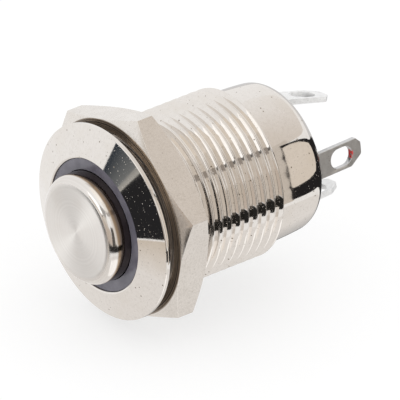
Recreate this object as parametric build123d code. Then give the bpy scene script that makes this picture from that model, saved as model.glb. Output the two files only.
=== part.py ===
# Metal pushbutton switch for a 12 mm panel hole, momentary, with a light ring around the button.
# The switch lies along Y. The bezel's rear face, which seats on the panel, is at Y = 0.
# The button looks towards -Y, the solder lugs point towards +Y, and +Z is up.
# All sizes are in millimetres. Places along the axis are counted from the seat.

from build123d import *
import os
from math import cos, radians, sin, tan

# Threaded barrel and the smooth shell behind it
thread_diameter = 12.0
thread_pitch = 0.75
thread_flank_angle = 30.0
thread_end = 10.63
relief_length = 1.2
rear_step = 0.55
rear_corner_radius = 1.15
housing_length = 14.95
shell_wall = 0.45
shoulder_depth = 1.2

# Bezel, the turned head that covers the edge of the panel hole
bezel_overhang = 1.0
rim_thickness = 0.3
cone_height = 0.83
front_lip = 0.25
hole_edge_break = 0.12

# Panel nut
nut_sides = 6
nut_wall = 1.0
nut_thickness = 2.33
nut_chamfer_inset = 0.03
nut_chamfer_angle = 26.0
nut_corner_angle = 18.5
nut_front = 0.87
nut_clearance = 0.05
nut_bore_chamfer = 0.25

# Button cap
button_protrusion = 1.47
button_edge_radius = 0.7
cap_top = 1.4
cap_skirt_wall = 1.3
button_clearance = 0.05
button_travel = 1.3

# Seal ring around the cap
seal_section = 0.56
seal_groove_depth = 0.55
seal_groove_width = 0.7
seal_rear_land = 1.3

# Light ring between the button and the bezel
ring_width = 0.8
ring_recess = 0.2
ring_clearance = 0.03
press_room = 0.4

# Light board and what it carries
board_thickness = 0.6
board_inner_overlap = 0.65
led_length = 1.6
led_width = 0.8
led_base_height = 0.35
led_lens_height = 0.25
led_lens_length = 1.1
led_inset = 0.25
led_count = 4
led_pocket_clearance = 0.1
resistor_length = 1.0
resistor_width = 0.5
resistor_height = 0.35
lead_diameter = 0.5
lead_clearance = 0.05

# Plunger, its retaining ring and its return spring
stem_clearance = 0.05
stem_tail = 0.6
press_pin_step = 0.4
press_pin_length = 0.75
clip_groove_depth = 0.35
clip_reach = 1.1
clip_thickness = 0.4
clip_opening = 70.0
clip_gap = 0.02
pin_head_overhang = 0.4
pin_head_height = 0.48
return_wire = 0.3
return_spring_inset = 0.3
return_coils = 6
spring_seat_depth = 0.2
spring_end_gap = 0.02

# Inner guide and rear base, the two moulded insulators
insulator_clearance = 0.05
guide_wall = 1.0
guide_skirt_wall = 0.6
base_thickness = 2.95
seal_depth_below_rim = 0.1

# Contacts
contact_gap = 1.0
contact_inset = 1.2
bridge_overhang = 0.8
bridge_width = 2.0
bridge_corner_radius = 0.5
bridge_thickness = 0.35
bridge_clearance = 0.05
contact_head_diameter = 1.6
contact_head_height = 0.3
contact_shank_diameter = 0.8
contact_upset_diameter = 1.2
contact_upset_height = 0.15
contact_wire = 0.2
contact_coils = 4

# Terminals with solder lugs
lug_width = 1.9
lug_thickness = 0.4
lug_inset = 1.05
lug_reach = 4.05
lug_straight = 0.15
contact_no_extra_length = 0.15
contact_common_extra_length = 0.3
lug_small_corner = 0.4
lug_large_corner_length = 0.95
lug_large_corner_width = 0.65
lug_corner_rounding = 0.3
lug_slot_length = 1.9
lug_slot_width = 1.4
lug_slot_inset = 1.8
lug_bend_radius = 0.8
foot_overhang = 1.0
led_terminal_depth = 0.55
lug_phase = 8.5
led_positive_lean = 3.5
contact_no_lean = 14.5
led_negative_lean = 4.0
contact_common_lean = 3.0

# Radii of the housing and the nut, all from the thread
thread_radius = thread_diameter / 2
bezel_radius = thread_radius + bezel_overhang
rear_radius = thread_radius - rear_step
bore_radius = rear_radius - shell_wall
front_hole_radius = bore_radius - front_lip
mouth_radius = rear_radius - rear_corner_radius - insulator_clearance
nut_flat_radius = thread_radius + nut_wall

# Radii of the button and what it carries, from the housing's front hole
ring_bore_radius = front_hole_radius - ring_width
button_radius = ring_bore_radius - button_clearance
recess_radius = button_radius - cap_skirt_wall
return_spring_radius = recess_radius - return_spring_inset
stem_radius = recess_radius / 2
bridge_pin_radius = stem_radius / 2
contact_spring_radius = (stem_radius + bridge_pin_radius) / 2

# Radii of what the shell holds, from its bore
insulator_radius = bore_radius - insulator_clearance
chamber_radius = insulator_radius - guide_skirt_wall
lug_circle_radius = insulator_radius - lug_inset
contact_circle_radius = lug_circle_radius - contact_inset
led_circle_radius = ring_bore_radius + led_inset

# Thread form: an eighth of the pitch flat on the crest and a quarter at the root
flank_slope = tan(radians(thread_flank_angle))
crest_flat = thread_pitch / 8
flank_run = (thread_pitch - crest_flat - thread_pitch / 4) / 2
thread_root_radius = thread_radius - flank_run / flank_slope
rear_flank_run = (thread_radius - rear_radius) * flank_slope

# Places along the axis: the housing's own, then from its rear the base and the contacts
bezel_front = -rim_thickness - cone_height
button_face = bezel_front - button_protrusion
ring_front = bezel_front + ring_recess
cap_ceiling = button_face + cap_top
base_rear = housing_length - shell_wall
base_front = base_rear - base_thickness
fixed_contact_face = base_front - lug_thickness - contact_head_height
bridge_rear = fixed_contact_face - contact_gap - contact_head_height
bridge_front = bridge_rear - bridge_thickness
lug_bend_start = housing_length + lug_straight
lug_tip = housing_length + lug_reach

# The guide's wall stands halfway along the inside, and the light and the button have the front half
guide_front = (bezel_front + base_front) / 2
guide_wall_rear = guide_front + guide_wall
stem_end = guide_wall_rear + stem_tail
spring_seat = guide_front + spring_seat_depth
board_front = guide_front - board_thickness
skirt_end = board_front - led_base_height - led_lens_height - press_room - button_travel

# Angles around the axis, counted from +X towards +Z
led_positive_angle = lug_phase
contact_no_angle = lug_phase + 90
led_negative_angle = lug_phase + 180
contact_common_angle = lug_phase + 270
resistor_angle = contact_common_angle
led_angles = [lug_phase + 45 + 360 / led_count * i for i in range(led_count)]


def turned(points, rounds=()):
    """Revolves a closed outline of (radius, place) points about Y; rounds holds (radius, place, fillet)."""
    outline = make_face(Polyline(*points, close=True))
    for radius, place, size in rounds:
        corner = outline.vertices().sort_by_distance((radius, place, 0))[0]
        outline = fillet(corner, size)
    return revolve(outline, Axis.Y)


def tube(outer, inner, start, end):
    """A plain tube about Y, or a disc where inner is 0."""
    return turned([(inner, start), (outer, start), (outer, end), (inner, end)])


def block(x_low, x_high, start, end, width):
    """A box in the radial plane, centred on Z."""
    centre = Pos((x_low + x_high) / 2, (start + end) / 2, 0)
    return centre * Box(x_high - x_low, end - start, width)


def peg(x, radius, start, end):
    """A round peg along Y at a distance x from the axis."""
    return Pos(x, (start + end) / 2, 0) * Rot(90, 0, 0) * Cylinder(radius, end - start)


def at_angle(shape, angle):
    """Turns a shape drawn on +X to its angle around the switch's axis."""
    return Rot(0, -angle, 0) * shape


def coil(mean_radius, wire, start, end, turns):
    """A round-wire compression spring about Y."""
    height = end - start - wire
    path = Helix(height / turns, height, mean_radius, center=(0, start + wire / 2, 0), direction=(0, 1, 0))
    section = Plane(path @ 0, z_dir=path % 0) * Circle(wire / 2)
    return sweep(section, path, is_frenet=True)


def housing():
    """Bezel, threaded barrel and rear shell, turned from one bar, with its rear edge rolled inwards."""
    ridge_count = int((thread_end - crest_flat - flank_run - relief_length) / thread_pitch) + 1
    outline = [
        (front_hole_radius, bezel_front + hole_edge_break),
        (front_hole_radius + hole_edge_break, bezel_front + hole_edge_break * cone_slope()),
        (bezel_radius, -rim_thickness),
        (bezel_radius, 0),
        (thread_root_radius, 0),
    ]
    for ridge in range(ridge_count):
        crest_end = thread_end - (ridge_count - 1 - ridge) * thread_pitch
        outline += [
            (thread_root_radius, crest_end - crest_flat - flank_run),
            (thread_radius, crest_end - crest_flat),
            (thread_radius, crest_end),
        ]
        if ridge < ridge_count - 1:
            outline.append((thread_root_radius, crest_end + flank_run))
    outline += [
        (rear_radius, thread_end + rear_flank_run),
        (rear_radius, housing_length),
        (mouth_radius, housing_length),
        (mouth_radius, base_rear),
        (bore_radius, base_rear),
        (bore_radius, shoulder_depth),
        (front_hole_radius, shoulder_depth),
    ]
    rounds = [
        (rear_radius, housing_length, rear_corner_radius),
        (bore_radius, base_rear, rear_corner_radius - shell_wall),
    ]
    return turned(outline, rounds)


def cone_slope():
    """How far the bezel's cone falls for each millimetre outwards."""
    return cone_height / (bezel_radius - front_hole_radius)


def hex_nut():
    """Panel nut: a hexagon with its corners turned to a chamfer on both faces."""
    bore = thread_radius + nut_clearance
    rear = nut_front + nut_thickness
    corner_radius = nut_flat_radius / cos(radians(180 / nut_sides))
    flat = Plane.XZ.offset(-nut_front)
    hexagon = RegularPolygon(corner_radius, nut_sides, rotation=nut_corner_angle)
    prism = extrude(flat * hexagon, -nut_thickness)
    chamfer_radius = nut_flat_radius - nut_chamfer_inset
    chamfer_drop = (corner_radius - chamfer_radius) * tan(radians(nut_chamfer_angle))
    blank = turned([
        (bore, nut_front + nut_bore_chamfer),
        (bore + nut_bore_chamfer, nut_front),
        (chamfer_radius, nut_front),
        (corner_radius, nut_front + chamfer_drop),
        (corner_radius, rear - chamfer_drop),
        (chamfer_radius, rear),
        (bore + nut_bore_chamfer, rear),
        (bore, rear - nut_bore_chamfer),
    ])
    return blank & prism


def button_cap():
    """Turned metal cap with a flat face, a groove for the seal and a hollow for the return spring."""
    groove_end = skirt_end - seal_rear_land
    groove_start = groove_end - seal_groove_width
    groove_root = button_radius - seal_groove_depth
    pin_hole = stem_radius - press_pin_step
    outline = [
        (0, button_face),
        (button_radius, button_face),
        (button_radius, groove_start),
        (groove_root, groove_start),
        (groove_root, groove_end),
        (button_radius, groove_end),
        (button_radius, skirt_end),
        (recess_radius, skirt_end),
        (recess_radius, cap_ceiling),
        (pin_hole, cap_ceiling),
        (pin_hole, cap_ceiling - press_pin_length),
        (0, cap_ceiling - press_pin_length),
    ]
    return turned(outline, [(button_radius, button_face, button_edge_radius)])


def button_seal():
    """Rubber O-ring in the cap's groove."""
    place = skirt_end - seal_rear_land - seal_groove_width / 2
    mean_radius = button_radius - seal_groove_depth + seal_section / 2
    section = Pos(mean_radius, place) * Circle(seal_section / 2)
    return revolve(section, Axis.Y)


def light_ring():
    """Clear moulded light guide: a thin front ring, a wider body and a pocket over each chip."""
    front_outer = front_hole_radius - ring_clearance
    body = turned([
        (ring_bore_radius, ring_front),
        (front_outer, ring_front),
        (front_outer, shoulder_depth),
        (insulator_radius, shoulder_depth),
        (insulator_radius, board_front),
        (ring_bore_radius, board_front),
    ])
    led_height = led_base_height + led_lens_height
    pocket = block(
        0,
        led_circle_radius + led_width / 2 + led_pocket_clearance,
        board_front - led_height - led_pocket_clearance,
        board_front,
        led_length + 2 * led_pocket_clearance,
    )
    for angle in led_angles + [resistor_angle]:
        body -= at_angle(pocket, angle)
    return body


def led_board():
    """Annular circuit board with a hole for each lead."""
    board = tube(insulator_radius, ring_bore_radius - board_inner_overlap, board_front, guide_front)
    lead_hole = peg(lug_circle_radius, lead_diameter / 2, board_front, guide_front)
    for angle in (led_positive_angle, led_negative_angle):
        board -= at_angle(lead_hole, angle)
    return board


def led_chips():
    """Surface-mounted light chips, each a base with a narrower lens on it."""
    base_top = board_front - led_base_height
    inner = led_circle_radius - led_width / 2
    outer = led_circle_radius + led_width / 2
    chip = block(inner, outer, base_top, board_front, led_length)
    chip += block(inner, outer, base_top - led_lens_height, base_top, led_lens_length)
    return Compound([at_angle(chip, angle).solid() for angle in led_angles])


def led_resistor():
    """The resistor that limits the chips' current."""
    body = block(
        led_circle_radius - resistor_width / 2,
        led_circle_radius + resistor_width / 2,
        board_front - resistor_height,
        board_front,
        resistor_length,
    )
    return at_angle(body, resistor_angle)


def led_lead(angle):
    """Straight wire from the board to the inner end of a light terminal."""
    terminal_end = base_front - led_terminal_depth
    return at_angle(peg(lug_circle_radius, lead_diameter / 2, board_front, terminal_end), angle)


def inner_guide():
    """Moulded cup: its front wall guides the plunger and seats the spring, its skirt stands on the base."""
    body = turned([
        (stem_radius + stem_clearance, guide_front),
        (insulator_radius, guide_front),
        (insulator_radius, base_front),
        (chamber_radius, base_front),
        (chamber_radius, guide_wall_rear),
        (stem_radius + stem_clearance, guide_wall_rear),
    ])
    seat_width = return_wire / 2 + spring_end_gap
    seat_outer = return_spring_radius + seat_width
    body -= tube(seat_outer, return_spring_radius - seat_width, guide_front, spring_seat)
    lead_hole = peg(lug_circle_radius, lead_diameter / 2 + lead_clearance, guide_front, guide_wall_rear)
    for angle in (led_positive_angle, led_negative_angle):
        body -= at_angle(lead_hole, angle)
    return body


def plunger():
    """Moulded stem: pressed into the cap, grooved for its clip, with a headed pin for the bridge."""
    groove_start = guide_wall_rear + clip_gap
    groove_end = groove_start + clip_thickness
    head_start = bridge_rear + clip_gap
    head_end = head_start + pin_head_height
    head_radius = bridge_pin_radius + pin_head_overhang
    return turned([
        (0, cap_ceiling - press_pin_length),
        (stem_radius - press_pin_step, cap_ceiling - press_pin_length),
        (stem_radius - press_pin_step, cap_ceiling),
        (stem_radius, cap_ceiling),
        (stem_radius, groove_start),
        (stem_radius - clip_groove_depth, groove_start),
        (stem_radius - clip_groove_depth, groove_end),
        (stem_radius, groove_end),
        (stem_radius, stem_end),
        (bridge_pin_radius, stem_end),
        (bridge_pin_radius, head_start),
        (head_radius, head_start),
        (head_radius, head_end),
        (0, head_end),
    ])


def retaining_ring():
    """Open clip in the plunger's groove, which stops the button against the guide's wall."""
    start = guide_wall_rear + clip_gap
    clip_radius = stem_radius + clip_reach
    ring = tube(clip_radius, stem_radius - clip_groove_depth, start, start + clip_thickness)
    reach = 2 * clip_radius
    half_opening = radians(clip_opening / 2)
    corners = [
        (0, 0),
        (reach * cos(half_opening), reach * sin(half_opening)),
        (reach * cos(half_opening), -reach * sin(half_opening)),
    ]
    opening = Plane.XZ.offset(-start) * make_face(Polyline(*corners, close=True))
    return ring - extrude(opening, -clip_thickness)


def return_spring():
    """Spring between the cap's ceiling and the guide, which brings the button back."""
    start = cap_ceiling + spring_end_gap
    return coil(return_spring_radius, return_wire, start, spring_seat - spring_end_gap, return_coils)


def contact_spring():
    """Small spring that presses the bridge rearwards against the pin's head."""
    start = stem_end + spring_end_gap
    return coil(contact_spring_radius, contact_wire, start, bridge_front - spring_end_gap, contact_coils)


def contact_bridge():
    """Flat bar between the fixed contacts, with a hole for the plunger's pin and one for each rivet."""
    half = contact_circle_radius + bridge_overhang
    bar = block(-half, half, bridge_front, bridge_rear, bridge_width)
    bar = fillet(bar.edges().filter_by(Axis.Y), bridge_corner_radius)
    bar -= tube(bridge_pin_radius + bridge_clearance, 0, bridge_front, bridge_rear)
    for side in (-1, 1):
        bar -= peg(side * contact_circle_radius, contact_shank_diameter / 2, bridge_front, bridge_rear)
    return at_angle(bar, contact_no_angle)


def bridge_contacts():
    """The bridge's two silver rivets, with their faces to the rear."""
    rivets = []
    for side in (-1, 1):
        x = side * contact_circle_radius
        rivet = peg(x, contact_upset_diameter / 2, bridge_front - contact_upset_height, bridge_front)
        rivet += peg(x, contact_shank_diameter / 2, bridge_front, bridge_rear)
        rivet += peg(x, contact_head_diameter / 2, bridge_rear, bridge_rear + contact_head_height)
        rivets.append(at_angle(rivet, contact_no_angle).solid())
    return Compound(rivets)


def fixed_contact(angle):
    """Silver rivet through a terminal's foot, with its face to the front."""
    foot_front = base_front - lug_thickness
    rivet = peg(contact_circle_radius, contact_head_diameter / 2, fixed_contact_face, foot_front)
    rivet += peg(contact_circle_radius, contact_shank_diameter / 2, foot_front, base_front)
    return at_angle(rivet, angle)


def lug_tail(length, large_side):
    """Flat outline of a solder lug from its bend: a slot, and a tip cropped more on one side."""
    half = lug_width / 2
    end = lug_bend_start + length
    large_start = (end - lug_large_corner_length, large_side * half)
    large_end = (end, large_side * (half - lug_large_corner_width))
    outline = make_face(Polyline(
        (lug_bend_start, large_side * half),
        large_start,
        large_end,
        (end, large_side * (lug_small_corner - half)),
        (end - lug_small_corner, -large_side * half),
        (lug_bend_start, -large_side * half),
        close=True,
    ))
    for corner in (large_start, large_end):
        outline = fillet(outline.vertices().sort_by_distance((*corner, 0))[0], lug_corner_rounding)
    return outline - Pos(end - lug_slot_inset, 0) * SlotOverall(lug_slot_length, lug_slot_width)


def terminal(angle, lean, large_side, inner_end, extra_length=0):
    """Stamped strip: straight through the base, leaning inwards behind it, with a slotted solder lug."""
    inner = lug_circle_radius - lug_thickness / 2
    outer = lug_circle_radius + lug_thickness / 2
    bend_axis = Axis((lug_circle_radius - lug_bend_radius, lug_bend_start, 0), (0, 0, 1))
    strip = block(inner, outer, inner_end, lug_bend_start, lug_width)
    section = Pos(lug_circle_radius, 0) * Rectangle(lug_thickness, lug_width)
    bend = revolve(Plane.XZ.offset(-lug_bend_start) * section, bend_axis, lean)
    tail_length = lug_tip + extra_length - lug_bend_start - lug_bend_radius * radians(lean)
    tail = extrude(Plane.YZ.offset(inner) * lug_tail(tail_length, large_side), lug_thickness)
    return at_angle(strip + bend + tail.rotate(bend_axis, lean), angle)


def led_terminal(angle, lean):
    """A terminal whose inner end stands out of the base, for the light's lead."""
    return terminal(angle, lean, -1, base_front - led_terminal_depth)


def contact_terminal(angle, lean, extra_length):
    """A terminal with a foot bent inwards on the base, holding a fixed contact."""
    foot_front = base_front - lug_thickness
    inner = lug_circle_radius - lug_thickness / 2
    foot = block(contact_circle_radius - foot_overhang, inner, foot_front, base_front, lug_width)
    foot -= peg(contact_circle_radius, contact_shank_diameter / 2, foot_front, base_front)
    return at_angle(foot, angle) + terminal(angle, lean, 1, foot_front, extra_length)


def rear_base(terminals):
    """Moulded disc that closes the shell and holds the four terminals."""
    rear_round = (insulator_radius, base_rear, rear_corner_radius - shell_wall)
    disc = turned([
        (0, base_front),
        (insulator_radius, base_front),
        (insulator_radius, base_rear),
        (0, base_rear),
    ], [rear_round])
    for strip in terminals:
        disc -= strip
    return disc


def epoxy_seal(terminals):
    """Cast resin around the terminals, inside the shell's rolled mouth."""
    disc = tube(mouth_radius, 0, base_rear, housing_length - seal_depth_below_rim)
    for strip in terminals:
        disc -= strip
    return disc


def all_pieces():
    """Every piece of the switch, by its name."""
    no_extra = contact_no_extra_length
    common_extra = contact_common_extra_length
    terminals = {
        "terminal_led_positive": led_terminal(led_positive_angle, led_positive_lean),
        "terminal_no": contact_terminal(contact_no_angle, contact_no_lean, no_extra),
        "terminal_led_negative": led_terminal(led_negative_angle, led_negative_lean),
        "terminal_common": contact_terminal(contact_common_angle, contact_common_lean, common_extra),
    }
    return {
        "housing": housing(),
        "hex_nut": hex_nut(),
        "button_cap": button_cap(),
        "button_seal": button_seal(),
        "light_ring": light_ring(),
        "led_board": led_board(),
        "led_chips": led_chips(),
        "led_resistor": led_resistor(),
        "led_lead_positive": led_lead(led_positive_angle),
        "led_lead_negative": led_lead(led_negative_angle),
        "inner_guide": inner_guide(),
        "plunger": plunger(),
        "retaining_ring": retaining_ring(),
        "return_spring": return_spring(),
        "contact_spring": contact_spring(),
        "contact_bridge": contact_bridge(),
        "bridge_contacts": bridge_contacts(),
        "fixed_contact_no": fixed_contact(contact_no_angle),
        "fixed_contact_common": fixed_contact(contact_common_angle),
        **terminals,
        "rear_base": rear_base(terminals.values()),
        "epoxy_seal": epoxy_seal(terminals.values()),
    }


os.makedirs("parts", exist_ok=True)
for name, piece in all_pieces().items():
    export_step(piece, f"parts/{name}.step")
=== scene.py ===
import bmesh
import bpy
import math
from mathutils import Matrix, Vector


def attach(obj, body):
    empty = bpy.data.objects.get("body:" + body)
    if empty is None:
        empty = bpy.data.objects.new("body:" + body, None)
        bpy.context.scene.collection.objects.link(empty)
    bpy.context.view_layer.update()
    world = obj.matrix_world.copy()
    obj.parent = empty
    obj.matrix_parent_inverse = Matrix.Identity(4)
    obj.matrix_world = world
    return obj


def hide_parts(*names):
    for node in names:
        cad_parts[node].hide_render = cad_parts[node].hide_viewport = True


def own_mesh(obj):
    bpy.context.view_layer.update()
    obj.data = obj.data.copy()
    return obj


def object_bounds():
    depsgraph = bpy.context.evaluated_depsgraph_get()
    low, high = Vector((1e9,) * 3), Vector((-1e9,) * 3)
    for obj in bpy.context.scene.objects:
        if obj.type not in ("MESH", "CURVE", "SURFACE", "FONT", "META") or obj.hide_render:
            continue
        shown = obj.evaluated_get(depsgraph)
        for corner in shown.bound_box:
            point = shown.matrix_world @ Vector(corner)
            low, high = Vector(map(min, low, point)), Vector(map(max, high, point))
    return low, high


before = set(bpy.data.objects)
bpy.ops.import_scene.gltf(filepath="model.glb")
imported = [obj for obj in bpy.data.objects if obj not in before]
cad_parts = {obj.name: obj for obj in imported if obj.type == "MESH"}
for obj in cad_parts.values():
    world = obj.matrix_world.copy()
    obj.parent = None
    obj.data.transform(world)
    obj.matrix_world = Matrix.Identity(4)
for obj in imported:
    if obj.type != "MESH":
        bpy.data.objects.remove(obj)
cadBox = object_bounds()
print("frame loaded:", len(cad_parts), "nodes")

# Everything below is drawn in millimetres around the switch's own axis (Y) and made metres at the end.
mm = 0.001
switchAxis = (0, 1, 0)
againstAxis = (0, -1, 0)
axisCentre = (0, 0, 0)
fullTurn = 2 * math.pi


# camera

cameraSettings = {
    "azimuth": 51.62,           # degrees round from the button's front towards +X
    "elevation": 29.63,
    "distance": 1.25,
    "lens": 1667.0,
    "sensor": 36.0,
    "target": (3.50, 5.30, 1.29),
    "clip": (0.001, 20),
}


def direction(azimuth, elevation):
    # unit vector for a place given in the camera's degrees
    azimuth, elevation = math.radians(azimuth), math.radians(elevation)
    return Vector((
        math.sin(azimuth) * math.cos(elevation),
        -math.cos(azimuth) * math.cos(elevation),
        math.sin(elevation),
    ))


def placeCamera(settings):
    back = direction(settings["azimuth"], settings["elevation"])
    data = bpy.data.cameras.new("camera")
    data.lens = settings["lens"]
    data.sensor_width = settings["sensor"]
    data.clip_start, data.clip_end = settings["clip"]
    camera = bpy.data.objects.new("camera", data)
    camera.location = Vector(settings["target"]) * mm + back * settings["distance"]
    camera.rotation_mode = "QUATERNION"
    camera.rotation_quaternion = (-back).to_track_quat("-Z", "Y")
    bpy.context.collection.objects.link(camera)
    bpy.context.scene.camera = camera


placeCamera(cameraSettings)
bpy.context.scene.view_settings.view_transform = "Standard"


# node helpers

def startMaterial(name):
    material = bpy.data.materials.new(name)
    material.use_nodes = True
    tree = material.node_tree
    shader = tree.nodes["Principled BSDF"]
    return material, tree, shader


def addNode(tree, kind, inputs=None, **settings):
    node = tree.nodes.new(kind)
    for key, value in settings.items():
        setattr(node, key, value)
    for key, value in (inputs or {}).items():
        setSocket(tree, node.inputs[key], value)
    return node


def setSocket(tree, socket, value):
    if isinstance(value, bpy.types.NodeSocket):
        tree.links.new(value, socket)
    else:
        socket.default_value = value


def objectCoords(tree, scale=(1000, 1000, 1000)):
    # 1000 makes one unit of a pattern one millimetre
    coords = addNode(tree, "ShaderNodeTexCoord")
    inputs = {"Vector": coords.outputs["Object"], "Scale": scale}
    return addNode(tree, "ShaderNodeMapping", inputs).outputs["Vector"]


def noise(tree, vector, scale, detail=2.0, roughness=0.5):
    inputs = {"Vector": vector, "Scale": scale, "Detail": detail, "Roughness": roughness}
    return addNode(tree, "ShaderNodeTexNoise", inputs).outputs["Fac"]


def remap(tree, value, fromLow, fromHigh, toLow, toHigh, kind="LINEAR"):
    inputs = {"Value": value, "From Min": fromLow, "From Max": fromHigh,
              "To Min": toLow, "To Max": toHigh}
    return addNode(tree, "ShaderNodeMapRange", inputs, interpolation_type=kind).outputs["Result"]


def maths(tree, operation, first, second=0.0):
    return addNode(tree, "ShaderNodeMath", {0: first, 1: second}, operation=operation).outputs["Value"]


def times(tree, first, second):
    return maths(tree, "MULTIPLY", first, second)


def vectorMaths(tree, operation, output, *vectors):
    inputs = dict(enumerate(vectors))
    return addNode(tree, "ShaderNodeVectorMath", inputs, operation=operation).outputs[output]


def mixColours(tree, factor, first, second):
    node = addNode(tree, "ShaderNodeMix", data_type="RGBA")
    for key, value in (("Factor_Float", factor), ("A_Color", first), ("B_Color", second)):
        setSocket(tree, next(s for s in node.inputs if s.identifier == key), value)
    return next(s for s in node.outputs if s.identifier == "Result_Color")


def addBump(tree, shader, height, strength, distance):
    inputs = {"Height": height, "Strength": strength, "Distance": distance}
    bump = addNode(tree, "ShaderNodeBump", inputs)
    tree.links.new(bump.outputs["Normal"], shader.inputs["Normal"])


def aroundAxis(tree, coords):
    # the place's three parts, the vector out from the switch's axis and its length
    place = addNode(tree, "ShaderNodeSeparateXYZ", {"Vector": coords}).outputs
    outward = addNode(tree, "ShaderNodeCombineXYZ", {"X": place["X"], "Z": place["Z"]}).outputs["Vector"]
    return place, outward, vectorMaths(tree, "LENGTH", "Value", outward)


def turnedLines(tree, place, density, detail, roughness=0.5):
    # marks of a lathe: noise along one measure
    inputs = {"W": times(tree, place, density), "Scale": 1.0, "Detail": detail, "Roughness": roughness}
    return addNode(tree, "ShaderNodeTexNoise", inputs, noise_dimensions="1D").outputs["Fac"]


def cellSpots(tree, coords, scale, channel):
    # distance to the nearest cell's centre, and a number drawn for each cell
    inputs = {"Vector": coords, "Scale": scale, "Randomness": 1.0}
    cells = addNode(tree, "ShaderNodeTexVoronoi", inputs)
    drawn = addNode(tree, "ShaderNodeSeparateColor", {"Color": cells.outputs["Color"]})
    return cells.outputs["Distance"], drawn.outputs[channel]


# studio: a white surround, a lit white table, and cards that only the metal sees

studio = {
    "surround": (1.0, 1.0, 1.0, 1),
    "tableColour": (0.36, 0.36, 0.36, 1),
    "tableGrain": (0.37, 0.37, 0.37, 1),
    "tableRoughness": 0.9,
    "tableGlow": 0.67,
    "tableHeight": cadBox[0].z - 0.00001,
    "tableHalf": 0.9,
    "cardDistance": 2.5,
    "cardGap": 0.03,
    "cardColumn": 3,            # degrees
    "cardRows": 24,
}

# each card: rows of (elevation, azimuth from, azimuth to) in the camera's degrees, the light it gives and,
# where it fades, the light at its other end and the way it fades; the first ones stand nearest
cards = {
    # behind: a window in its dark frame, and warm walls
    "windowPane": (((-17, 127.2, 128.8), (-15.5, 126.4, 131.5), (-12, 125.6, 133.5), (-6, 124.9, 144),
                    (-2, 124.8, 149), (5, 125.0, 151), (14, 126.0, 148.5), (20, 127.5, 145),
                    (27, 130.2, 139.8), (31, 132.2, 138.8), (32.2, 133.0, 136.5)), (0.80, 0.73, 0.65)),
    "windowFrame": (((-31.6, 132.0, 136.5), (-29, 130.2, 141), (-25, 128.6, 217), (-15, 125.5, 203),
                     (0, 124.0, 184), (5, 124.2, 176), (22, 127.2, 151), (31, 131.6, 141.5),
                     (33.5, 133.0, 139.5), (35.2, 133.9, 134.6)), (0.020, 0.019, 0.020)),
    "frameCorner": (((-38, 205, 238), (-31, 165, 238), (-25, 142, 217)), (0.03, 0.03, 0.032)),
    "warmWall": (((-33, 119, 133), (-15, 119, 128), (0, 119, 127), (30, 120, 134), (38, 122, 140)),
                 (0.66, 0.605, 0.545)),
    "warmSide": (((-14.5, 80, 120), (40.3, 80, 122)), (0.84, 0.80, 0.75)),
    "rearTop": (((34, 112, 226), (58, 112, 226)), (0.70, 0.63, 0.56), (0.97, 0.96, 0.95)),
    "rearHigh": (((57, 130, 266), (71, 130, 266)), (0.80, 0.78, 0.76)),
    "rearGrey": (((-26, 200, 246), (-5, 186, 236), (10, 170, 222)), (0.70, 0.70, 0.71)),
    # in front: small blocks and the long dark cards
    "greyBar": (((-9, -23.4, -21.1), (4, -23.4, -21.1)), (0.30, 0.30, 0.29), (0.50, 0.49, 0.46)),
    "navyBlock": (((-7, -35.3, -23.4), (4, -35.3, -23.4)), (0.025, 0.034, 0.048), (0.19, 0.20, 0.205)),
    "blackFront": (((-21.8, -21.1, -4), (4, -21.1, -6)), (0.022, 0.022, 0.024)),
    "warmLow": (((-38, -22, -4), (-22.4, -14.5, -4)), (0.88, 0.855, 0.83), (0.70, 0.63, 0.55), "upwards"),
    "dimFront": (((-33, -37, -17), (-8, -37, -21.1)), (0.34, 0.33, 0.32)),
    "greyCorner": (((-36, -9, 7), (-2, -8, 7)), (0.50, 0.46, 0.42)),
    "blackSide": (((-30, -3, 134), (-18, 0, 134)), (0.022, 0.021, 0.020)),
    # the softbox of the white bands on the thread, with a dark sill and beige cards round it
    "softboxFront": (((16.2, 6, 7), (20, 0.5, 13), (24.3, -8, 17), (28.5, -22, 22), (46, -30, 6)),
                     (1.30, 1.29, 1.28)),
    "darkSill": (((13.4, 6, 8.2), (16, 4, 11.8), (20.5, -2.0, 17.7), (24, -10, 21), (27.5, -22, 25)),
                 (0.16, 0.15, 0.14)),
    "beigeFront": (((10, -22, 38), (28, -22, 38)), (0.68, 0.63, 0.57)),
    "beigeSide": (((-17.5, 6, 50), (-4, 6, 50), (-2.5, -2, 50), (10.3, -2, 50)), (0.62, 0.54, 0.47)),
    "darkSide": (((-18, 48, 96), (18, 56, 96)), (0.13, 0.12, 0.11)),
    "dimTop": (((28, 12, 40), (50, 22, 62)), (0.42, 0.41, 0.40)),
    # overhead
    "greyStrip": (((40, 62, 122), (49, 62, 122)), (0.44, 0.41, 0.385)),
    "stripLight": (((49, 62, 122), (71, 62, 126)), (0.90, 0.86, 0.80)),
    "softboxTop": (((70, -180, 180), (89, -180, 180)), (1.06, 1.02, 0.96)),
    # below
    "floorLight": (((-84, 20, 150), (-60, 24, 140), (-44, 30, 125)), (1.22, 1.21, 1.20)),
    # underneath: the table's shadow under the switch, painted into the card that the metal sees below it
    "underneath": (((-62, 176, 230), (-34, 178, 230)), (0.87, 0.85, 0.83), (0.47, 0.46, 0.45)),
    "paper": (((-89, -180, 180), (-37, -180, 180)), (0.88, 0.86, 0.84)),
}


def makeSurround(settings):
    world = bpy.data.worlds.new("surround")
    bpy.context.scene.world = world
    world.use_nodes = True
    world.node_tree.nodes["Background"].inputs["Color"].default_value = settings["surround"]


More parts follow.
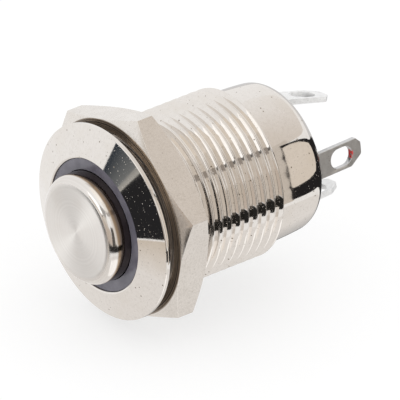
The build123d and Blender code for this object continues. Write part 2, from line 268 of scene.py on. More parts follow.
def makeTable(settings):
    bm = bmesh.new()
    bmesh.ops.create_grid(bm, x_segments=1, y_segments=1, size=settings["tableHalf"])
    bmesh.ops.translate(bm, verts=bm.verts, vec=(0, 0, settings["tableHeight"]))
    mesh = bpy.data.meshes.new("table")
    bm.to_mesh(mesh)
    bm.free()
    material, tree, shader = startMaterial("litTable")
    grain = noise(tree, objectCoords(tree), 0.4, 3)
    shade = mixColours(tree, grain, settings["tableColour"], settings["tableGrain"])
    tree.links.new(shade, shader.inputs["Base Color"])
    shader.inputs["Roughness"].default_value = settings["tableRoughness"]
    shader.inputs["Specular IOR Level"].default_value = 0.0
    shader.inputs["Emission Color"].default_value = (1, 1, 1, 1)
    shader.inputs["Emission Strength"].default_value = settings["tableGlow"]
    mesh.materials.append(material)
    table = bpy.data.objects.new("table", mesh)
    table.visible_glossy = False
    bpy.context.collection.objects.link(table)


def cardMesh(name, distance, rows):
    widest = max(right - left for _, left, right in rows)
    bm = bmesh.new()
    bmesh.ops.create_grid(bm, x_segments=max(2, round(widest / studio["cardColumn"])),
                          y_segments=studio["cardRows"], size=0.5)
    low, high = rows[0][0], rows[-1][0]
    slack = 0.001
    for vert in bm.verts:
        elevation = low + (high - low) * (vert.co.y + 0.5)
        lower, upper = next((pair for pair in zip(rows, rows[1:]) if elevation <= pair[1][0] + slack),
                            rows[-2:])
        share = (elevation - lower[0]) / (upper[0] - lower[0])
        left = lower[1] + (upper[1] - lower[1]) * share
        right = lower[2] + (upper[2] - lower[2]) * share
        vert.co = distance * direction(left + (right - left) * (vert.co.x + 0.5), elevation)
    mesh = bpy.data.meshes.new(name)
    bm.to_mesh(mesh)
    bm.free()
    return mesh


def cardGlow(name, rows, light, farLight, way):
    material = bpy.data.materials.new(name)
    material.use_nodes = True
    tree = material.node_tree
    tree.nodes.clear()
    glow = addNode(tree, "ShaderNodeEmission", {"Color": (*light, 1), "Strength": 1.0})
    if farLight:
        outward = vectorMaths(tree, "NORMALIZE", "Vector", objectCoords(tree))
        place = addNode(tree, "ShaderNodeSeparateXYZ", {"Vector": outward}).outputs
        if way == "upwards":
            start, end = (math.sin(math.radians(row[0])) for row in (rows[0], rows[-1]))
            share = remap(tree, place["Z"], start, end, 0, 1)
        else:
            # azimuth from straight behind, in radians
            turned = maths(tree, "ARCTAN2", times(tree, place["X"], -1), place["Y"])
            start, end = (math.radians(azimuth % 360 - 180) for azimuth in rows[0][1:])
            share = remap(tree, turned, start, end, 0, 1)
        tree.links.new(mixColours(tree, share, (*light, 1), (*farLight, 1)), glow.inputs["Color"])
    output = addNode(tree, "ShaderNodeOutputMaterial")
    tree.links.new(glow.outputs["Emission"], output.inputs["Surface"])
    return material


def makeCard(name, distance, rows, light, farLight=None, way="across"):
    mesh = cardMesh(name, distance, rows)
    mesh.materials.append(cardGlow(name, rows, light, farLight, way))
    card = bpy.data.objects.new(name, mesh)
    card.visible_camera = False
    card.visible_diffuse = False
    card.visible_shadow = False
    bpy.context.collection.objects.link(card)


makeSurround(studio)
makeTable(studio)
for place, (cardName, cardSettings) in enumerate(cards.items()):
    makeCard(cardName, studio["cardDistance"] + place * studio["cardGap"], *cardSettings)
print("studio made:", len(cards), "cards")


# finishes

nickelSettings = {
    "colour": (0.800, 0.762, 0.724, 1),
    "stain": (0.760, 0.715, 0.665, 1),
    "mottle": (0.745, 0.705, 0.665, 1),
    "pit": (0.26, 0.215, 0.17, 1),
    "gapShade": (0.42, 0.335, 0.265, 1),
    "gapShadeLine": (0.045, 0.035, 0.028, 1),
    "gapShadeShare": 0.85,
    "gapShadeRadius": (6.6, 7.0),      # full inside the first, none past the second
    "gapShadeStart": (-0.02, 0.02),
    "gapShadeEnd": (1.3, 2.4),
    "gapShadeLines": 8.0,              # in a millimetre
    "gapShadeMetal": 0.25,
    "pitCells": 3.2,                # in a millimetre
    "pitReach": (0.13, 0.28),
    "pitChance": (0.085, 0.10),
    "pitRoughness": 0.4,
    "speckCells": 6.2,
    "speckReach": (0.02, 0.25),
    "speckFrom": 0.30,              # cells that draw less have no speck to speak of
    "speckRoughness": 0.62,
    "roughness": 0.045,
}


def nickelFinish(name, settings):
    material, tree, shader = startMaterial(name)
    coords = objectCoords(tree)
    cloud = remap(tree, noise(tree, coords, 0.45, 4), 0.45, 0.75, 0, 1, "SMOOTHSTEP")
    mottle = remap(tree, noise(tree, coords, 4.5, 4, 0.7), 0.45, 0.68, 0, 1)
    stained = mixColours(tree, mottle, settings["colour"], settings["mottle"])
    stained = mixColours(tree, cloud, stained, settings["stain"])
    # painted shade behind the bezel, in the gap before the nut: dark brown with turned lines, and less
    # metallic
    place, _, radius = aroundAxis(tree, coords)
    inside = remap(tree, radius, *settings["gapShadeRadius"], 1, 0)
    behind = times(tree, remap(tree, place["Y"], *settings["gapShadeStart"], 0, 1),
                   remap(tree, place["Y"], *settings["gapShadeEnd"], 1, 0))
    gapShade = times(tree, times(tree, behind, inside), settings["gapShadeShare"])
    turning = turnedLines(tree, maths(tree, "ADD", place["Y"], radius), settings["gapShadeLines"], 2.0)
    gapShadeTone = mixColours(tree, remap(tree, turning, 0.42, 0.60, 0, 1), settings["gapShadeLine"], settings["gapShade"])
    stained = mixColours(tree, gapShade, stained, gapShadeTone)
    # dark pits in a few cells, pale dust specks in others
    distance, chance = cellSpots(tree, coords, settings["pitCells"], "Red")
    ragged = times(tree, noise(tree, coords, 14.0, 2), 0.08)
    near = remap(tree, maths(tree, "ADD", distance, ragged), *settings["pitReach"], 1, 0, "SMOOTHSTEP")
    pits = times(tree, near, remap(tree, chance, *settings["pitChance"], 1, 0))
    distance, size = cellSpots(tree, coords, settings["speckCells"], "Green")
    reach = remap(tree, size, settings["speckFrom"], 1.0, *settings["speckReach"])
    specks = remap(tree, maths(tree, "SUBTRACT", distance, reach), -0.03, 0.0, 1, 0)
    tree.links.new(mixColours(tree, pits, stained, settings["pit"]), shader.inputs["Base Color"])
    tree.links.new(remap(tree, gapShade, 0, 1, 1, settings["gapShadeMetal"]), shader.inputs["Metallic"])
    haze = remap(tree, noise(tree, coords, 1.1, 5, 0.65), 0.35, 0.7,
                 settings["roughness"] * 0.8, settings["roughness"] * 1.4)
    rough = maths(tree, "ADD", haze, times(tree, pits, settings["pitRoughness"]))
    rough = maths(tree, "MAXIMUM", rough, times(tree, specks, settings["speckRoughness"]))
    tree.links.new(rough, shader.inputs["Roughness"])
    grain = noise(tree, coords, 9.0, 3, 0.6)
    addBump(tree, shader, maths(tree, "SUBTRACT", times(tree, grain, 0.10), pits), 0.05, 0.00002)
    return material


nutSettings = {
    "colour": (0.790, 0.750, 0.708, 1),
    "worn": (0.745, 0.702, 0.655, 1),
    "speckle": (0.62, 0.575, 0.53, 1),
    "pit": (0.42, 0.36, 0.31, 1),
    "faceShade": (0.055, 0.044, 0.038, 1),
    "faceLitLines": (0.66, 0.50, 0.35, 1),
    "frontFace": (0.875, 0.90),     # where the painted shade on the face behind the bezel fades out
    "frontLines": 9.0,              # in a millimetre
    "frontMetal": 0.35,
    "litLinesFrom": (0.35, 0.7),      # radians round from +X, between which lighter lines of painted light show in the painted shade
    "litLinesTo": (1.25, 1.45),
    "pitCells": 2.8,
    "pitReach": (0.05, 0.15),
    "pitChance": (0.14, 0.17),
    "roughness": 0.19,
}


def nutFinish(settings):
    material, tree, shader = startMaterial("nickelNut")
    coords = objectCoords(tree)
    drag = noise(tree, objectCoords(tree, (7000, 1600, 7000)), 1.0, 4, 0.6)
    cloud = noise(tree, coords, 0.8, 4)
    tone = maths(tree, "ADD", times(tree, drag, 0.45), times(tree, cloud, 0.55))
    base = mixColours(tree, remap(tree, tone, 0.38, 0.64, 0, 1), settings["colour"], settings["worn"])
    speckle = remap(tree, noise(tree, coords, 7.0, 4, 0.7), 0.50, 0.72, 0, 0.8)
    base = mixColours(tree, speckle, base, settings["speckle"])
    distance, chance = cellSpots(tree, coords, settings["pitCells"], "Red")
    near = remap(tree, distance, *settings["pitReach"], 1, 0, "SMOOTHSTEP")
    pits = times(tree, near, remap(tree, chance, *settings["pitChance"], 0.8, 0))
    pitted = mixColours(tree, pits, base, settings["pit"])
    # the front face, behind the bezel, is turned; its colour is painted shade, with lighter lines of painted
    # light on one side
    place, _, radius = aroundAxis(tree, coords)
    rings = turnedLines(tree, radius, settings["frontLines"], 3.0)
    facing = remap(tree, place["Y"], *settings["frontFace"], 1, 0)
    turned = maths(tree, "ARCTAN2", place["Z"], place["X"])
    litLinesSide = times(tree, remap(tree, turned, *settings["litLinesFrom"], 0.40, 1, "SMOOTHSTEP"),
                   remap(tree, turned, *settings["litLinesTo"], 1, 0.35, "SMOOTHSTEP"))
    lines = times(tree, remap(tree, rings, 0.45, 0.57, 0, 1), litLinesSide)
    faceShade = mixColours(tree, lines, settings["faceShade"], settings["faceLitLines"])
    tree.links.new(mixColours(tree, facing, pitted, faceShade), shader.inputs["Base Color"])
    tree.links.new(remap(tree, facing, 0, 1, 1, settings["frontMetal"]), shader.inputs["Metallic"])
    dull = remap(tree, tone, 0.38, 0.64, settings["roughness"] * 0.85, settings["roughness"] * 1.25)
    tree.links.new(dull, shader.inputs["Roughness"])
    addBump(tree, shader, maths(tree, "SUBTRACT", times(tree, drag, 0.5), pits), 0.10, 0.00001)
    return material


turnedFaceSettings = {
    "colour": (0.800, 0.765, 0.730, 1),
    "groove": (0.742, 0.706, 0.670, 1),
    "worn": (0.70, 0.65, 0.60, 1),
    "goldReflection": (0.34, 0.255, 0.18, 1),
    "wall": (0.15, 0.127, 0.12, 1),
    "paintedGlint": (0.93, 0.90, 0.86, 1),
    "glintAngle": 53.0,             # the side of the face on which the painted highlight lies
    "glintPower": 18.0,
    "faceEnd": (-2.585, -2.45),
    "goldReflectionPlace": (-2.10, -1.93),
    "wallPlace": (-1.93, -1.66),
    "marks": 7.0,                   # in a millimetre
    "roughness": 0.29,
    "edgeRoughness": 0.09,
    "anisotropy": 0.74,
}


def turnedFaceFinish(settings):
    material, tree, shader = startMaterial("turnedFace")
    coords = objectCoords(tree)
    place, outward, radius = aroundAxis(tree, coords)
    rings = turnedLines(tree, radius, settings["marks"], 4.0, 0.7)
    cloud = noise(tree, coords, 0.7, 4)
    base = mixColours(tree, remap(tree, rings, 0.3, 0.7, 0, 1), settings["groove"], settings["colour"])
    worn = mixColours(tree, remap(tree, cloud, 0.5, 0.8, 0, 0.5), base, settings["worn"])
    # the glint is a painted highlight: a bow tie across the face, lightened into the colour
    glintAngle = math.radians(settings["glintAngle"])
    facing = vectorMaths(tree, "DOT_PRODUCT", "Value", vectorMaths(tree, "NORMALIZE", "Vector", outward),
                         (math.cos(glintAngle), 0, math.sin(glintAngle)))
    narrow = maths(tree, "POWER", maths(tree, "ABSOLUTE", facing), settings["glintPower"])
    paintedGlint = times(tree, narrow, remap(tree, rings, 0.3, 0.7, 0.45, 0.9))
    worn = mixColours(tree, paintedGlint, worn, settings["paintedGlint"])
    # painted reflection and shade: the edge's foot shows gold, the side below it the dark ring
    goldReflection = remap(tree, place["Y"], *settings["goldReflectionPlace"], 0, 1, "SMOOTHSTEP")
    wall = remap(tree, place["Y"], *settings["wallPlace"], 0, 1, "SMOOTHSTEP")
    side = mixColours(tree, wall, settings["goldReflection"], settings["wall"])
    tree.links.new(mixColours(tree, goldReflection, worn, side), shader.inputs["Base Color"])
    shader.inputs["Metallic"].default_value = 1.0
    shader.inputs["Anisotropic"].default_value = settings["anisotropy"]
    # the lathe's marks run round the axis on the face; the edge and the side are polished
    onFace = remap(tree, place["Y"], *settings["faceEnd"], 1, 0, "SMOOTHSTEP")
    dull = times(tree, onFace, settings["roughness"] - settings["edgeRoughness"])
    tree.links.new(maths(tree, "ADD", dull, settings["edgeRoughness"]), shader.inputs["Roughness"])
    around = vectorMaths(tree, "CROSS_PRODUCT", "Vector", switchAxis, outward)
    tree.links.new(vectorMaths(tree, "NORMALIZE", "Vector", around), shader.inputs["Tangent"])
    addBump(tree, shader, times(tree, rings, onFace), 0.10, 0.00003)
    return material


lightGuideSettings = {
    "colour": (0.105, 0.098, 0.126, 1),
    "pale": (0.205, 0.196, 0.230, 1),
    "refraction": 1.49,
    "scatter": 0.25,
    "scatterRadius": (0.5, 0.45, 0.6),
    "scatterScale": 0.0006,
    "roughness": (0.10, 0.17),
}


def lightGuideFinish(settings):
    material, tree, shader = startMaterial("lightGuide")
    coords = objectCoords(tree)
    cloud = noise(tree, coords, 0.6, 3)
    tint = mixColours(tree, remap(tree, cloud, 0.3, 0.7, 0, 1), settings["colour"], settings["pale"])
    tree.links.new(tint, shader.inputs["Base Color"])
    shader.inputs["IOR"].default_value = settings["refraction"]
    shader.inputs["Subsurface Weight"].default_value = settings["scatter"]
    shader.inputs["Subsurface Radius"].default_value = settings["scatterRadius"]
    shader.inputs["Subsurface Scale"].default_value = settings["scatterScale"]
    rough = remap(tree, noise(tree, coords, 2.0, 3), 0.3, 0.7, *settings["roughness"])
    tree.links.new(rough, shader.inputs["Roughness"])
    addBump(tree, shader, noise(tree, coords, 5.0, 2), 0.05, 0.00002)
    return material


tinSettings = {
    "dullShare": 0.82,
    "roughness": (0.26, 0.46),
    "paint": (0.62, 0.035, 0.03, 1),
    "paintEdge": (0.56, 0.61),      # how far the dab reaches, in millimetres
    "paintRagged": 0.55,
}


def tinnedFinish(name, settings, colour, metallic, dabCentre=None):
    material, tree, shader = startMaterial(name)
    coords = objectCoords(tree)
    cloud = noise(tree, coords, 2.4, 5, 0.7)
    dull = tuple(c * settings["dullShare"] for c in colour[:3]) + (1,)
    tin = mixColours(tree, remap(tree, cloud, 0.35, 0.7, 0, 1), colour, dull)
    rough = remap(tree, noise(tree, coords, 3.0, 4, 0.7), 0.3, 0.7, *settings["roughness"])
    if dabCentre:
        # a dab of red paint marks the positive lug, inside the slot's outer end
        gap = vectorMaths(tree, "DISTANCE", "Value", coords, dabCentre)
        ragged = times(tree, noise(tree, coords, 5.0, 4), settings["paintRagged"])
        paint = remap(tree, maths(tree, "ADD", gap, ragged), *settings["paintEdge"], 1, 0)
        tin = mixColours(tree, paint, tin, settings["paint"])
        tree.links.new(remap(tree, paint, 0, 1, metallic, 0), shader.inputs["Metallic"])
    else:
        shader.inputs["Metallic"].default_value = metallic
    tree.links.new(tin, shader.inputs["Base Color"])
    tree.links.new(rough, shader.inputs["Roughness"])
    addBump(tree, shader, noise(tree, coords, 7.0, 4, 0.6), 0.22, 0.00001)
    return material


def plasticFinish(name, colour, second, roughness, patternScale=1.2, bumpStrength=0.12):
    material, tree, shader = startMaterial(name)
    coords = objectCoords(tree)
    cloud = remap(tree, noise(tree, coords, patternScale, 5, 0.6), 0.3, 0.7, 0, 1)
    tree.links.new(mixColours(tree, cloud, colour, second), shader.inputs["Base Color"])
    rough = remap(tree, noise(tree, coords, patternScale * 2.5, 3), 0.3, 0.7,
                  roughness * 0.8, roughness * 1.2)
    tree.links.new(rough, shader.inputs["Roughness"])
    addBump(tree, shader, noise(tree, coords, patternScale * 8, 4, 0.7), bumpStrength, 0.00002)
    return material


def metalFinish(name, colour, second, roughness):
    material, tree, shader = startMaterial(name)
    coords = objectCoords(tree)
    cloud = noise(tree, coords, 2.0, 5, 0.6)
    shade = mixColours(tree, remap(tree, cloud, 0.3, 0.7, 0, 1), colour, second)
    tree.links.new(shade, shader.inputs["Base Color"])
    shader.inputs["Metallic"].default_value = 1.0
    rough = remap(tree, cloud, 0.3, 0.7, roughness * 0.8, roughness * 1.3)
    tree.links.new(rough, shader.inputs["Roughness"])
    addBump(tree, shader, noise(tree, coords, 10.0, 3, 0.7), 0.10, 0.00001)
    return material


dabCentre = (3.72, 17.95, 0.55)
finishes = {
    "nickel": nickelFinish("nickelPlate", nickelSettings),
    "nut": nutFinish(nutSettings),
    "turnedFace": turnedFaceFinish(turnedFaceSettings),
    "lightGuide": lightGuideFinish(lightGuideSettings),
    "tin": tinnedFinish("tinnedStrip", tinSettings, (0.84, 0.84, 0.83, 1), 1.0),
    # the second tin is a lit copy of the first, paler and less metallic: painted light
    "tinLit": tinnedFinish("tinnedStripLit", tinSettings, (0.98, 0.98, 0.975, 1), 0.2),
    "tinMarked": tinnedFinish("tinnedStripMarked", tinSettings, (0.69, 0.69, 0.69, 1), 1.0, dabCentre),
    "wire": metalFinish("tinnedWire", (0.76, 0.75, 0.73, 1), (0.66, 0.65, 0.63, 1), 0.3),
    "spring": metalFinish("springSteel", (0.56, 0.56, 0.55, 1), (0.47, 0.46, 0.44, 1), 0.25),
    "brass": metalFinish("contactBrass", (0.78, 0.60, 0.30, 1), (0.68, 0.50, 0.24, 1), 0.24),
    "silver": metalFinish("contactSilver", (0.88, 0.87, 0.85, 1), (0.78, 0.77, 0.74, 1), 0.2),
    "blackMoulding": plasticFinish("blackMoulding", (0.030, 0.030, 0.031, 1), (0.044, 0.044, 0.045, 1), 0.5),
    "whiteMoulding": plasticFinish("whiteMoulding", (0.80, 0.79, 0.75, 1), (0.74, 0.72, 0.67, 1), 0.48),
    "rubber": plasticFinish("sealRubber", (0.022, 0.022, 0.022, 1), (0.035, 0.034, 0.033, 1), 0.6),
    "resin": plasticFinish("castResin", (0.020, 0.020, 0.022, 1), (0.034, 0.033, 0.034, 1), 0.2, 0.5, 0.3),
    "board": plasticFinish("solderMask", (0.02, 0.13, 0.06, 1), (0.03, 0.17, 0.08, 1), 0.35, 3.0),
    "chip": plasticFinish("chipWhite", (0.86, 0.83, 0.70, 1), (0.80, 0.76, 0.60, 1), 0.3, 3.0),
    "chipBlack": plasticFinish("chipBlack", (0.03, 0.03, 0.035, 1), (0.05, 0.05, 0.05, 1), 0.55, 3.0),
}

nodeFinishes = {
    "light_ring": "lightGuide",
    "button_seal": "rubber",
    "led_board": "board",
    "led_chips": "chip",
    "led_resistor": "chipBlack",
    "led_lead_positive": "wire",
    "led_lead_negative": "wire",
    "inner_guide": "whiteMoulding",
    "plunger": "blackMoulding",
    "retaining_ring": "spring",
    "contact_bridge": "brass",
    "bridge_contacts": "silver",
    "fixed_contact_no": "silver",
    "fixed_contact_common": "silver",
    "rear_base": "blackMoulding",
    "epoxy_seal": "resin",
}

for nodeName, finishName in nodeFinishes.items():
    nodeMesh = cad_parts[nodeName].data
    nodeMesh.materials.clear()
    nodeMesh.materials.append(finishes[finishName])
print("finishes made:", len(finishes))


# modelling helpers

def profileSpin(bm, points, segments, closed=False):
    # points are (radius, place along the axis)
    verts = [bm.verts.new((radius, place, 0)) for radius, place in points]
    edges = [bm.edges.new(pair) for pair in zip(verts, verts[1:])]
    if closed:
        edges.append(bm.edges.new((verts[-1], verts[0])))
    bmesh.ops.spin(bm, geom=verts + edges, cent=axisCentre, axis=switchAxis,
                   angle=fullTurn, steps=segments, use_merge=True)
    bmesh.ops.remove_doubles(bm, verts=bm.verts, dist=0.0005)


def fromAxis(vert):
    return math.hypot(vert.co.x, vert.co.z)


def ringEdges(bm, radius, place, slack=0.004):
    def onRing(vert):
        return abs(fromAxis(vert) - radius) < slack and abs(vert.co.y - place) < slack
    return [edge for edge in bm.edges if all(onRing(vert) for vert in edge.verts)]


def sharpEdges(bm, angle):
    return [edge for edge in bm.edges
            if len(edge.link_faces) == 2 and edge.calc_face_angle() > math.radians(angle)]


def roundEdges(bm, edges, size, segments=3):
    bmesh.ops.bevel(bm, geom=edges, offset=size, segments=segments, profile=0.5,
                    affect="EDGES", material=-1, clamp_overlap=True)


def wholeMesh(bm):
    return bm.verts[:] + bm.edges[:] + bm.faces[:]


def finishPiece(name, bm, finish, body, nodes, sharpAngle=38, weighted=True):
    bmesh.ops.remove_doubles(bm, verts=bm.verts, dist=0.0004)
    bmesh.ops.recalc_face_normals(bm, faces=bm.faces)
    bmesh.ops.scale(bm, verts=bm.verts, vec=(mm, mm, mm))
    mesh = bpy.data.meshes.new(name)
    bm.to_mesh(mesh)
    bm.free()
    mesh.shade_smooth()
    mesh.set_sharp_from_angle(angle=math.radians(sharpAngle))
    mesh.materials.append(finish)
    piece = bpy.data.objects.new(name, mesh)
    bpy.context.collection.objects.link(piece)
    if weighted:
        piece.modifiers.new("weightedNormals", "WEIGHTED_NORMAL").keep_sharp = True
    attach(piece, body)
    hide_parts(*nodes)
    print("piece made:", name, len(mesh.polygons), "faces")
    return piece


# housing: bezel, relief, rolled rear shell by one spin, and a true right-handed thread between

housing = {
    "segments": 144,
    "holeRadius": 4.75,
    "holeRounding": 0.05,
    "edgeBreak": 0.12,
    "frontPlace": -1.13,
    "coneHeight": 0.83,
    "rimPlace": -0.30,
    "bezelRadius": 7.0,
    "rimRounding": 0.05,
    "seatRounding": 0.04,
    "rootRadius": 5.594,
    "rootRounding": 0.08,
    "crestRadius": 6.0,
    "pitch": 0.75,
    "threadStart": 1.2,
    "threadEnd": 10.72,
    "threadLead": 0.06,         # plain neck between the relief and the thread's first ridge
    "crestPlace": 10.583,       # centre of the last crest, on the side that the camera sees
    "crestAngle": 36.0,
    "turnsBefore": 15,
    "turns": 17,
    "shoulderPlace": 10.95,
    "shellRadius": 5.45,
    "shellRounding": 1.15,
    "crownStart": 11.2,
    "crownRadius": 30.0,        # the shell isn't quite a cylinder, which bends the reflections on it
    "crownPlaces": (13.7, 13.4, 13.1, 12.8, 12.5, 12.2, 11.9, 11.65),
    "boreRadius": 5.0,
    "boreStart": 1.2,
    "boreEnd": 14.5,
    "mouthRadius": 4.25,
    "mouthRounding": 0.06,
    "rearPlace": 14.95,
}

# half of the thread's section: depth below the crest or height above the root, and share of the pitch
crestSide = ((0.001, 0.020), (0.007, 0.044), (0.018, 0.066), (0.034, 0.088),
             (0.108, 0.173), (0.191, 0.257), (0.283, 0.342))
rootSide = ((0.020, 0.426), (0.007, 0.450), (0, 0.472), (0, 0.5))


def threadBand(bm, settings):
    # one pitch of the thread's section, from root to root, swept as a helix well past both ends
    pitch = settings["pitch"]
    root = settings["rootRadius"]
    crest = settings["crestRadius"]
    first = settings["crestPlace"] - settings["turnsBefore"] * pitch - pitch * settings["crestAngle"] / 360
    half = [(crest - depth, share * pitch) for depth, share in crestSide]
    half += [(root + height, share * pitch) for height, share in rootSide]
    section = [(radius, -place) for radius, place in reversed(half)] + [(crest, 0)] + half
    verts = [bm.verts.new((radius, first + place, 0)) for radius, place in section]
    edges = [bm.edges.new(pair) for pair in zip(verts, verts[1:])]
    bmesh.ops.spin(bm, geom=verts + edges, cent=axisCentre, axis=againstAxis, angle=fullTurn,
                   dvec=(0, pitch / settings["segments"], 0), steps=settings["segments"])
    oneTurn = wholeMesh(bm)
    for turn in range(1, settings["turns"]):
        copied = bmesh.ops.duplicate(bm, geom=oneTurn)["geom"]
        copiedVerts = [item for item in copied if isinstance(item, bmesh.types.BMVert)]
        bmesh.ops.translate(bm, verts=copiedVerts, vec=(0, pitch * turn, 0))
    bmesh.ops.remove_doubles(bm, verts=bm.verts, dist=0.0005)
    for place, side in ((settings["threadStart"], -1), (settings["threadEnd"], 1)):
        bmesh.ops.bisect_plane(bm, geom=wholeMesh(bm), dist=0.0002, plane_co=(0, place, 0),
                               plane_no=(0, side, 0), clear_outer=True)


def crowned(settings, place):
    return settings["shellRadius"] - (place - settings["crownStart"]) ** 2 / (2 * settings["crownRadius"])


def openRim(bm, place, slack=0.002):
    return [edge for edge in bm.edges if edge.is_boundary
            and all(abs(vert.co.y - place) < slack for vert in edge.verts)]


def housingBody(bm, settings):
    slope = settings["coneHeight"] / (settings["bezelRadius"] - settings["holeRadius"])
    neckStart = settings["threadStart"] - settings["threadLead"]
    holeEdge = settings["frontPlace"] + settings["edgeBreak"]
    rearRadius = crowned(settings, settings["rearPlace"])
    profileSpin(bm, [
        (settings["rootRadius"], neckStart),
        (settings["rootRadius"], 0),
        (settings["bezelRadius"], 0),
        (settings["bezelRadius"], settings["rimPlace"]),
        (settings["holeRadius"] + settings["edgeBreak"],
         settings["frontPlace"] + slope * settings["edgeBreak"]),
        (settings["holeRadius"], holeEdge),
        (settings["holeRadius"], settings["boreStart"]),
        (settings["boreRadius"], settings["boreStart"]),
        (settings["boreRadius"], settings["boreEnd"]),
        (settings["mouthRadius"], settings["boreEnd"]),
        (settings["mouthRadius"], settings["rearPlace"]),
        (rearRadius, settings["rearPlace"]),
        *[(crowned(settings, place), place) for place in settings["crownPlaces"]],
        (settings["shellRadius"], settings["crownStart"]),
        (settings["shellRadius"], settings["shoulderPlace"]),
    ], settings["segments"])
    for radius, place, size, segments in (
        (settings["bezelRadius"], settings["rimPlace"], settings["rimRounding"], 3),
        (settings["bezelRadius"], 0, settings["seatRounding"], 3),
        (settings["rootRadius"], 0, settings["rootRounding"], 2),
        (settings["holeRadius"], holeEdge, settings["holeRounding"], 3),
        (rearRadius, settings["rearPlace"], settings["shellRounding"], 14),
        (settings["mouthRadius"], settings["rearPlace"], settings["mouthRounding"], 3),
    ):
        roundEdges(bm, ringEdges(bm, radius, place), size, segments)


def makeHousing(settings):
    bm = bmesh.new()
    housingBody(bm, settings)
    bodyEdges = set(bm.edges)
    threadMesh = bmesh.new()
    threadBand(threadMesh, settings)
    carrier = bpy.data.meshes.new("threadCarrier")
    threadMesh.to_mesh(carrier)
    threadMesh.free()
    bm.from_mesh(carrier)
    bpy.data.meshes.remove(carrier)
    for threadPlace, bodyPlace in (
        (settings["threadStart"], settings["threadStart"] - settings["threadLead"]),
        (settings["threadEnd"], settings["shoulderPlace"]),
    ):
        threadRim = [edge for edge in openRim(bm, threadPlace) if edge not in bodyEdges]
        bodyRim = [edge for edge in openRim(bm, bodyPlace) if edge in bodyEdges]
        bmesh.ops.bridge_loops(bm, edges=threadRim + bodyRim)
    return finishPiece("switchHousing", bm, finishes["nickel"], "switch", ["housing"])


makeHousing(housing)


# panel nut: a turned disc, chamfered on both faces and cut to a hexagon

nut = {
    "segments": 192,
    "flatRadius": 7.0,
    "cornerAngle": 18.5,
    "cornerSpare": 0.1,         # the disc is this much wider than the hexagon's corners
    "front": 0.87,
    "thickness": 2.33,
    "chamferRadius": 6.97,
    "chamferAngle": 26.0,
    "boreRadius": 6.05,
    "boreChamfer": 0.25,
    "rounding": 0.09,
    "roundedFrom": 22,          # degrees between two faces
}


def makeNut(settings):
    cornerRadius = settings["flatRadius"] / math.cos(math.radians(30)) + settings["cornerSpare"]
    rear = settings["front"] + settings["thickness"]
    drop = (cornerRadius - settings["chamferRadius"]) * math.tan(math.radians(settings["chamferAngle"]))
    lead = settings["boreChamfer"]
    bm = bmesh.new()
    profileSpin(bm, [
        (settings["boreRadius"], settings["front"] + lead),
        (settings["boreRadius"] + lead, settings["front"]),
        (settings["chamferRadius"], settings["front"]),
        (cornerRadius, settings["front"] + drop),
        (cornerRadius, rear - drop),
        (settings["chamferRadius"], rear),
        (settings["boreRadius"] + lead, rear),
        (settings["boreRadius"], rear - lead),
    ], settings["segments"], closed=True)
    bmesh.ops.recalc_face_normals(bm, faces=bm.faces)
    for side in range(6):
        angle = math.radians(settings["cornerAngle"] + 30 + 60 * side)
        outward = Vector((math.cos(angle), 0, math.sin(angle)))
        cut = bmesh.ops.bisect_plane(bm, geom=wholeMesh(bm), dist=0.0002, clear_outer=True,
                                     plane_co=outward * settings["flatRadius"], plane_no=outward)
        rim = [item for item in cut["geom_cut"] if isinstance(item, bmesh.types.BMEdge)]
        bmesh.ops.edgenet_fill(bm, edges=rim)
    bmesh.ops.recalc_face_normals(bm, faces=bm.faces)
    roundEdges(bm, sharpEdges(bm, settings["roundedFrom"]), settings["rounding"])
    return finishPiece("panelNut", bm, finishes["nut"], "nut", ["hex_nut"])


makeNut(nut)


# button cap: a faced and polished turning, hollow behind

button = {
    "segments": 144,
    "radius": 3.9,
    "face": -2.6,
    "edgeRadius": 0.7,
    "edgeSteps": 10,
    "skirtEnd": 2.31,
    "grooveStart": 0.31,
    "grooveEnd": 1.01,
    "grooveRoot": 3.35,
    "recessRadius": 2.6,
    "ceiling": -1.2,
    "pinHole": 0.9,
    "pinDepth": 0.75,
    "markPitch": 0.15,
    "markHeight": 0.0007,
    "markSteps": 4,             # rings of faces for each lathe mark
    "plainBorder": 0.02,        # no marks this close to the middle and to the edge
}


def makeButton(settings):
    radius = settings["radius"]
    face = settings["face"]
    pinEnd = settings["ceiling"] - settings["pinDepth"]
    bm = bmesh.new()
    profileSpin(bm, [
        (0, face),
        (radius, face),
        (radius, settings["grooveStart"]),
        (settings["grooveRoot"], settings["grooveStart"]),
        (settings["grooveRoot"], settings["grooveEnd"]),
        (radius, settings["grooveEnd"]),
        (radius, settings["skirtEnd"]),
        (settings["recessRadius"], settings["skirtEnd"]),
        (settings["recessRadius"], settings["ceiling"]),
        (settings["pinHole"], settings["ceiling"]),
        (settings["pinHole"], pinEnd),
        (0, pinEnd),
    ], settings["segments"])
    roundEdges(bm, ringEdges(bm, radius, face), settings["edgeRadius"], settings["edgeSteps"])
    # lathe marks on the face: rings under a micron high, by splitting the face's spokes and waving them
    slack = 0.001
    spokes = [edge for edge in bm.edges
              if all(abs(vert.co.y - face) < slack for vert in edge.verts)
              and min(fromAxis(vert) for vert in edge.verts) < slack]
    flatRadius = radius - settings["edgeRadius"]
    marks = int(flatRadius / settings["markPitch"])
    bmesh.ops.subdivide_edges(bm, edges=spokes, cuts=marks * settings["markSteps"] - 1)
    border = settings["plainBorder"]
    for vert in bm.verts:
        distance = fromAxis(vert)
        if abs(vert.co.y - face) < slack and border < distance < flatRadius - border:
            wave = 0.5 - 0.5 * math.cos(fullTurn * distance / settings["markPitch"])
            vert.co.y += settings["markHeight"] * wave
    return finishPiece("buttonCap", bm, finishes["turnedFace"], "button", ["button_cap"])


makeButton(button)


# lugs: the CAD strips with their stamped edges broken

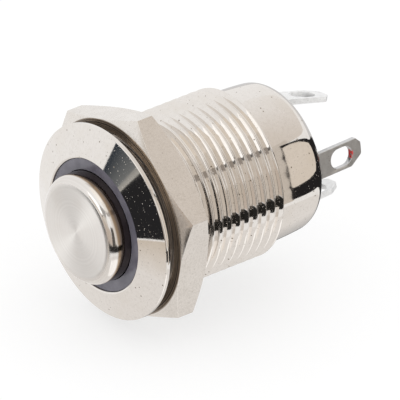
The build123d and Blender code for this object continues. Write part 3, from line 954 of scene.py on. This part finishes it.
# lugOpen and lugCommon take the lit copy of the tin, which is painted light
lugs = {
    "terminal_led_positive": ("lugPositive", "tinMarked"),
    "terminal_no": ("lugOpen", "tinLit"),
    "terminal_led_negative": ("lugNegative", "tin"),
    "terminal_common": ("lugCommon", "tinLit"),
}
lugShape = {
    "flatWithin": 1,            # degrees
    "brokenFrom": 35,           # degrees
    "edgeBreak": 0.045,
    "edgeSteps": 2,
}


def makeLug(node, name, finish, settings):
    bm = bmesh.new()
    bm.from_mesh(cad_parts[node].data)
    bmesh.ops.scale(bm, verts=bm.verts, vec=(1 / mm, 1 / mm, 1 / mm))
    bmesh.ops.remove_doubles(bm, verts=bm.verts, dist=0.0005)
    bmesh.ops.dissolve_limit(bm, angle_limit=math.radians(settings["flatWithin"]),
                             verts=bm.verts, edges=bm.edges)
    roundEdges(bm, sharpEdges(bm, settings["brokenFrom"]), settings["edgeBreak"], settings["edgeSteps"])
    return finishPiece(name, bm, finish, "switch", [node])


for lugNode, (lugName, lugFinish) in lugs.items():
    makeLug(lugNode, lugName, finishes[lugFinish], lugShape)


# springs: round wire wound as helices

buttonTravel = 1.3
bridgeLag = 0.32                # the bridge travels this much less than the button
returnLength = 5.39 + 1.18
contactLength = 9.18 - 6.83
springs = {
    "returnSpring": {
        "node": "return_spring", "body": "switch", "radius": 2.3, "wire": 0.15,
        "start": -1.18, "end": 5.39, "coils": 6,
        "anchor": 5.39, "keep": (returnLength - buttonTravel) / returnLength,
    },
    "contactSpring": {
        "node": "contact_spring", "body": "button", "radius": 0.975, "wire": 0.1,
        "start": 6.83, "end": 9.18, "coils": 4,
        "anchor": 6.83, "keep": (contactLength - bridgeLag) / contactLength,
    },
}
coilSteps = 48
wireSides = 12


def makeSpring(name, settings):
    rise = settings["end"] - settings["start"] - 2 * settings["wire"]
    steps = settings["coils"] * coilSteps
    bm = bmesh.new()
    ring = bmesh.ops.create_circle(bm, cap_ends=True, segments=wireSides, radius=settings["wire"])
    bmesh.ops.translate(bm, verts=ring["verts"],
                        vec=(settings["radius"], settings["start"] + settings["wire"], 0))
    bmesh.ops.spin(bm, geom=wholeMesh(bm), cent=axisCentre, axis=againstAxis,
                   dvec=(0, rise / steps, 0), angle=fullTurn * settings["coils"], steps=steps)
    piece = finishPiece(name, bm, finishes["spring"], settings["body"], [settings["node"]],
                        weighted=False)
    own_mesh(piece)
    return piece


for springName, springSettings in springs.items():
    makeSpring(springName, springSettings)
